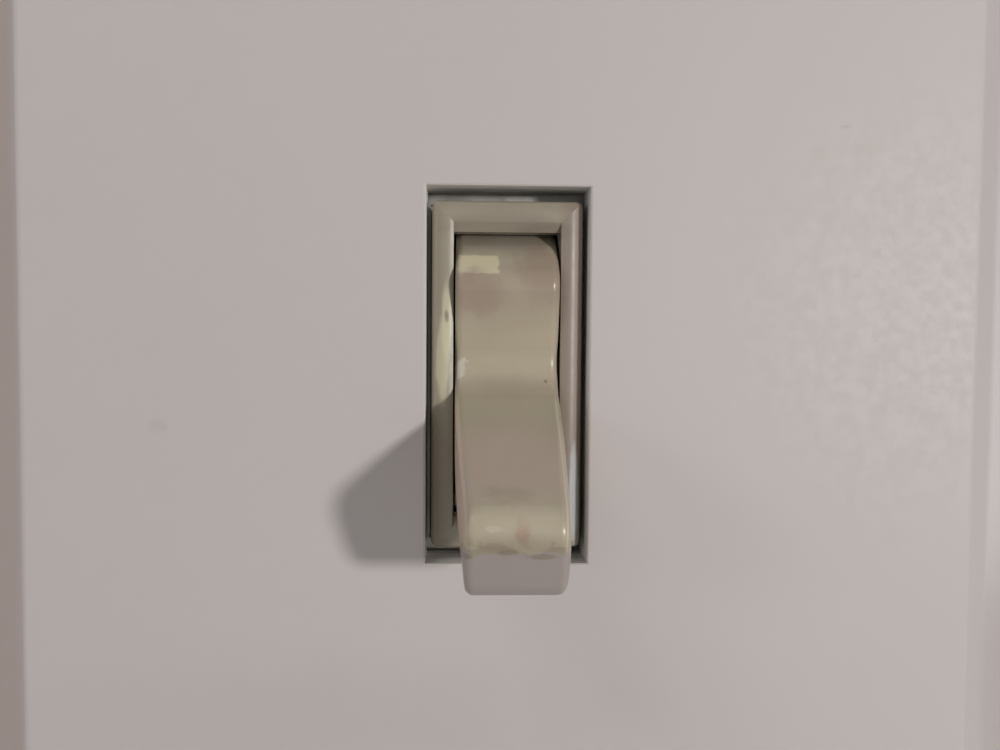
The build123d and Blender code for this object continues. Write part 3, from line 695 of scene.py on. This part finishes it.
def screw_kinds():
    """The four kinds of screws. A head's rows go from its top to its neck."""
    plate_head = np.vstack([dome_rows(3.40, 0.9), [2.856, 1.7]])
    box_head = np.vstack([dome_rows(3.4, 0.85), [1.7, 3.4], [1.701, 1.35], [3.45, 1.35]])
    terminal_head = np.vstack([round_rows(3.7, 0.7), [2.1, 3.7], [2.101, 2.08]])
    ground_head = np.array([[0, 0.4], [0, 3.1], [0.28, 3.7], [2.1, 3.7], [2.101, 2.08]])
    return {
        "plate": ScrewShape(plate_head, thread_start=3.0, end=13.9, radius=1.7),
        "box": ScrewShape(box_head, thread_start=3.46, end=27.1, radius=1.7),
        "terminal": ScrewShape(terminal_head, thread_start=2.2, end=6.7, radius=2.08),
        "ground": ScrewShape(
            ground_head, thread_start=2.2, end=6.7, radius=2.08, hexagon_rows=4),
    }


def screw_rows(shape, settings):
    """Rows round a screw, in mm: their depths, and the points of each.

    The head's rows are round, or r cos(30) / cos(a mod 60 - 30) where the head is a hexagon.
    Along the thread r = R - d clip(1.4 |2 frac(s / p - a / 2 pi) - 1| - 0.2, 0, 1), and its last
    rows close in as a cone.
    """
    pitch, depth = settings.pitch / MM, settings.depth / MM
    angle = np.linspace(0, 2 * math.pi, settings.steps, endpoint=False)
    shoulder = shape.end - pitch * POINT_TURNS
    along = np.arange(shape.thread_start, shoulder, pitch / ROWS_PER_TURN)
    phase = along[:, None] / pitch - angle / (2 * math.pi)
    tooth = np.clip(1.4 * np.abs(2 * (phase - np.floor(phase)) - 1) - 0.2, 0, 1)
    fade = np.clip((along - shape.thread_start) / pitch, 0, 1)[:, None]
    thread = shape.radius - depth * tooth * fade
    depths = np.concatenate([shape.head[:, 0], along, [shoulder, shape.end]])
    sixth = np.mod(angle, math.pi / 3) - math.pi / 6
    hexagon = math.cos(math.pi / 6) / np.cos(sixth)
    sided = (np.arange(len(shape.head)) < shape.hexagon_rows)[:, None]
    heads = shape.head[:, 1:] * np.where(sided, hexagon, 1.0)
    root = np.full((1, len(angle)), shape.radius - depth)
    radii = np.vstack([heads, thread, root, root * POINT_SHARE])
    circle = np.stack([np.cos(angle), np.sin(angle)], axis=1)
    return depths, radii[:, :, None] * circle


def make_screw(screw, shape, settings):
    """A threaded, slotted screw in place of a CAD one: same place, same head, same length."""
    lo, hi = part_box(screw.node)
    top = [(a + b) / 2 for a, b in zip(lo, hi)]
    top[screw.axis] = lo[screw.axis] if screw.toward > 0 else hi[screw.axis]
    depths, ring = screw_rows(shape, settings)
    points = np.zeros((*ring.shape[:2], 3))
    across = [axis for axis in range(3) if axis != screw.axis]
    points[:, :, screw.axis] = screw.toward * depths[:, None]
    points[:, :, across] = ring
    piece = piece_from_grid(f"{screw.node}_threaded", points * MM + np.array(top))
    half = np.full(3, SLOT_REACH)
    half[3 - screw.axis - screw.slot_axis] = SLOT_HALF_WIDTH
    half[screw.axis] = screw.slot_depth
    cut_slot(piece, top, half * MM)
    smooth(piece)
    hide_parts(screw.node)
    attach(piece, "switch")
    return piece


def make_floor(settings):
    """A plain pale floor under the plate's lower edge; far from the plate it glows a little."""
    half, level = FLOOR_HALF, cad_box[0].z
    corners = [(x * half, y * half, level) for x, y in ((-1, -1), (1, -1), (1, 1), (-1, 1))]
    mesh = bpy.data.meshes.new("floor")
    mesh.from_pydata(corners, [], [(0, 1, 2, 3)])
    floor = link("floor", mesh)
    material, graph, shader, place = new_material("pale_floor")
    tone = graph.group("Mottle", Vector=place, Wide=4.0, Fine=40.0, Contrast=0.03)["Tone"]
    shade = graph.scaled(settings.floor, tone)
    far = graph.ease(graph.vector("LENGTH", place), *GLOW_RANGE)
    graph.feed(shader.inputs["Base Color"], shade)
    graph.feed(shader.inputs["Emission Color"], graph.scaled(shade, far))
    shader.inputs["Roughness"].default_value = 0.8
    shader.inputs["Emission Strength"].default_value = settings.glow
    mesh.materials.append(material)


def make_world(settings):
    """Even pale light from all sides; the camera sees a paler background instead of it."""
    world = bpy.data.worlds.new("pale_room")
    world.use_nodes = True
    world.node_tree.nodes.clear()
    graph = Graph(world.node_tree)
    light = graph.node(
        "ShaderNodeBackground", {"Color": (0.96, 0.97, 1.0), "Strength": settings.world})
    seen = graph.node("ShaderNodeBackground", {"Color": settings.sky, "Strength": 1.0})
    camera_ray = graph.node("ShaderNodeLightPath").outputs["Is Camera Ray"]
    both = graph.node(
        "ShaderNodeMixShader", {0: camera_ray, 1: light.outputs[0], 2: seen.outputs[0]})
    graph.node("ShaderNodeOutputWorld", {"Surface": both.outputs[0]})
    bpy.context.scene.world = world


def make_lamp(lamp, power):
    """A disc, or with a cone a spot lamp with a soft edge, aimed at the opening."""
    data = bpy.data.lights.new(lamp.name, "SPOT" if lamp.cone else "AREA")
    if lamp.cone:
        data.spot_size = math.radians(lamp.cone)
        data.spot_blend = 0.5
        data.shadow_soft_size = lamp.size / 2
    else:
        data.shape = "DISK"
        data.size = lamp.size
    data.energy = power
    data.color = lamp.colour
    made = link(lamp.name, data)
    made.location = lamp.place
    made.rotation_mode = "QUATERNION"
    aim = Vector((0, PLATE_FACE, 0)) - Vector(lamp.place)
    made.rotation_quaternion = aim.to_track_quat("-Z", "Y")


def make_camera(settings):
    """The camera close in front of the plate, turned a little as the photograph's view is."""
    turns = [math.radians(angle) for angle in CAMERA_TURNS]
    tilt, pan, roll = (Matrix.Rotation(angle, 3, axis) for angle, axis in zip(turns, "XYZ"))
    view = roll @ pan @ tilt
    to_row = Matrix(((1, 0, 0), (0, 0, -1), (0, 1, 0)))
    data = bpy.data.cameras.new("camera")
    data.lens = settings.lens
    data.sensor_width = 36
    data.clip_start = 0.002
    data.clip_end = 20
    camera = link("camera", data)
    place = Vector((0, PLATE_FACE, 0)) + Vector(CAMERA_PLACE) * MM
    camera.matrix_world = Matrix.Translation(place) @ (to_row @ view.transposed()).to_4x4()
    bpy.context.scene.camera = camera
    bpy.context.scene.view_settings.view_transform = "Standard"


class SWITCH_OT_plate(bpy.types.Operator):
    """Gives the wall plate its satin white finish"""
    bl_idname = "wall_switch.plate"
    bl_label = "Finish the Wall Plate"

    def execute(self, context):
        dress_nodes(plate_finish(context.scene.wall_switch_plate), "wall_plate")
        return {"FINISHED"}


class SWITCH_OT_lever(bpy.types.Operator):
    """Gives the lever and the cover with its collar their stained ivory finish, with painted shade,
    light and reflections
    """
    bl_idname = "wall_switch.lever"
    bl_label = "Finish the Lever and Collar"

    def execute(self, context):
        settings = context.scene.wall_switch_lever
        dress_nodes(lever_finish(settings), "toggle_lever")
        dress_nodes(collar_finish(settings), "collar_frame")
        return {"FINISHED"}


class SWITCH_OT_screws(bpy.types.Operator):
    """Makes the threaded and slotted screws: plate, box, terminal and ground screws"""
    bl_idname = "wall_switch.screws"
    bl_label = "Make the Screws"

    def execute(self, context):
        settings = context.scene.wall_switch_metal
        kinds = screw_kinds()
        even = (1200, 1200, 1200)
        finishes = {
            "plate": painted_screw(context.scene.wall_switch_plate.colour),
            "box": sheet_metal("zinc_screw", settings.zinc, rough=0.32, stretch=even,
                               tarnish=0.5, tarnish_scale=500.0),
            "terminal": sheet_metal("brass_screw", settings.brass, rough=0.3, stretch=even,
                                    tarnish=0.4, tarnish_scale=500.0),
            "ground": moulded("green_screw", (0.03, 0.14, 0.05), rough=0.35, contrast=0.1,
                              fine_scale=1500.0, depth=0.01),
        }
        for screw in SCREWS:
            dress(finishes[screw.kind], make_screw(screw, kinds[screw.kind], settings))
        return {"FINISHED"}


class SWITCH_OT_body(bpy.types.Operator):
    """Gives the housing, strap, rivets, pads, plunger, terminals and contacts their finishes"""
    bl_idname = "wall_switch.body"
    bl_label = "Finish the Switch Body"

    def execute(self, context):
        settings = context.scene.wall_switch_metal
        zinc = sheet_metal("zinc_strap", settings.zinc, rough=0.38, stretch=(900, 900, 90),
                           tarnish=0.5)
        brass = sheet_metal("brass_terminals", settings.brass, rough=0.3, stretch=(900, 900, 120),
                            tarnish=0.4)
        silver = sheet_metal("silver_contacts", (0.72, 0.71, 0.68), rough=0.25,
                             stretch=(900, 900, 900), tarnish=0.5, tarnish_scale=900.0)
        housing = moulded("dark_housing", settings.housing, rough=0.42, contrast=0.3,
                          fine_scale=1800.0, depth=0.03)
        fibre = moulded("red_fibre", (0.16, 0.045, 0.025), rough=0.75, contrast=0.35,
                        fine_scale=2500.0, depth=0.04)
        plunger = moulded("plunger_plastic", (0.62, 0.60, 0.54), rough=0.35, contrast=0.06,
                          fine_scale=1500.0, depth=0.01)
        dress_nodes(zinc, "mounting_strap", "rivet_upper", "rivet_lower", "lever_spring")
        dress_nodes(brass, "pivot_terminal", "load_terminal", "contact_rocker")
        dress_nodes(silver, "moving_contact", "fixed_contact")
        dress_nodes(housing, "base_housing")
        dress_nodes(fibre, "screw_retainer_upper", "screw_retainer_lower",
                    "stop_pad_upper", "stop_pad_lower")
        dress_nodes(plunger, "spring_plunger")
        return {"FINISHED"}


class SWITCH_OT_stage(bpy.types.Operator):
    """Builds the floor, the lamps, the even light and the camera"""
    bl_idname = "wall_switch.stage"
    bl_label = "Set the Stage"

    def execute(self, context):
        settings = context.scene.wall_switch_stage
        make_floor(settings)
        make_world(settings)
        for power, lamp in LAMPS.items():
            make_lamp(lamp, getattr(settings, power))
        make_camera(settings)
        return {"FINISHED"}


class SWITCH_PT_panel(bpy.types.Panel):
    """Lists the steps that finish the switch, and their settings"""
    bl_label = "Wall Switch"
    bl_idname = "SWITCH_PT_panel"
    bl_space_type = "VIEW_3D"
    bl_region_type = "UI"
    bl_category = "Wall Switch"

    def draw(self, context):
        for operator in OPERATORS:
            self.layout.operator(operator.bl_idname)
        for name in SETTINGS:
            group = getattr(context.scene, name)
            box = self.layout.box()
            for prop in group.__annotations__:
                box.prop(group, prop)


OPERATORS = [SWITCH_OT_plate, SWITCH_OT_lever, SWITCH_OT_screws, SWITCH_OT_body, SWITCH_OT_stage]
SETTINGS = {
    "wall_switch_plate": PlateSettings,
    "wall_switch_lever": LeverSettings,
    "wall_switch_metal": MetalSettings,
    "wall_switch_stage": StageSettings,
}


def register():
    """Registers the settings, operators and panel."""
    for kind in [*SETTINGS.values(), *OPERATORS, SWITCH_PT_panel]:
        bpy.utils.register_class(kind)
    for name, kind in SETTINGS.items():
        setattr(bpy.types.Scene, name, PointerProperty(type=kind))


def unregister():
    """Takes everything out again."""
    for name in SETTINGS:
        delattr(bpy.types.Scene, name)
    for kind in [SWITCH_PT_panel, *OPERATORS, *SETTINGS.values()]:
        bpy.utils.unregister_class(kind)


def main():
    """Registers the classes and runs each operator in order."""
    register()
    for operator in OPERATORS:
        namespace, name = operator.bl_idname.split(".")
        getattr(getattr(bpy.ops, namespace), name)()


if __name__ == "__main__":
    main()
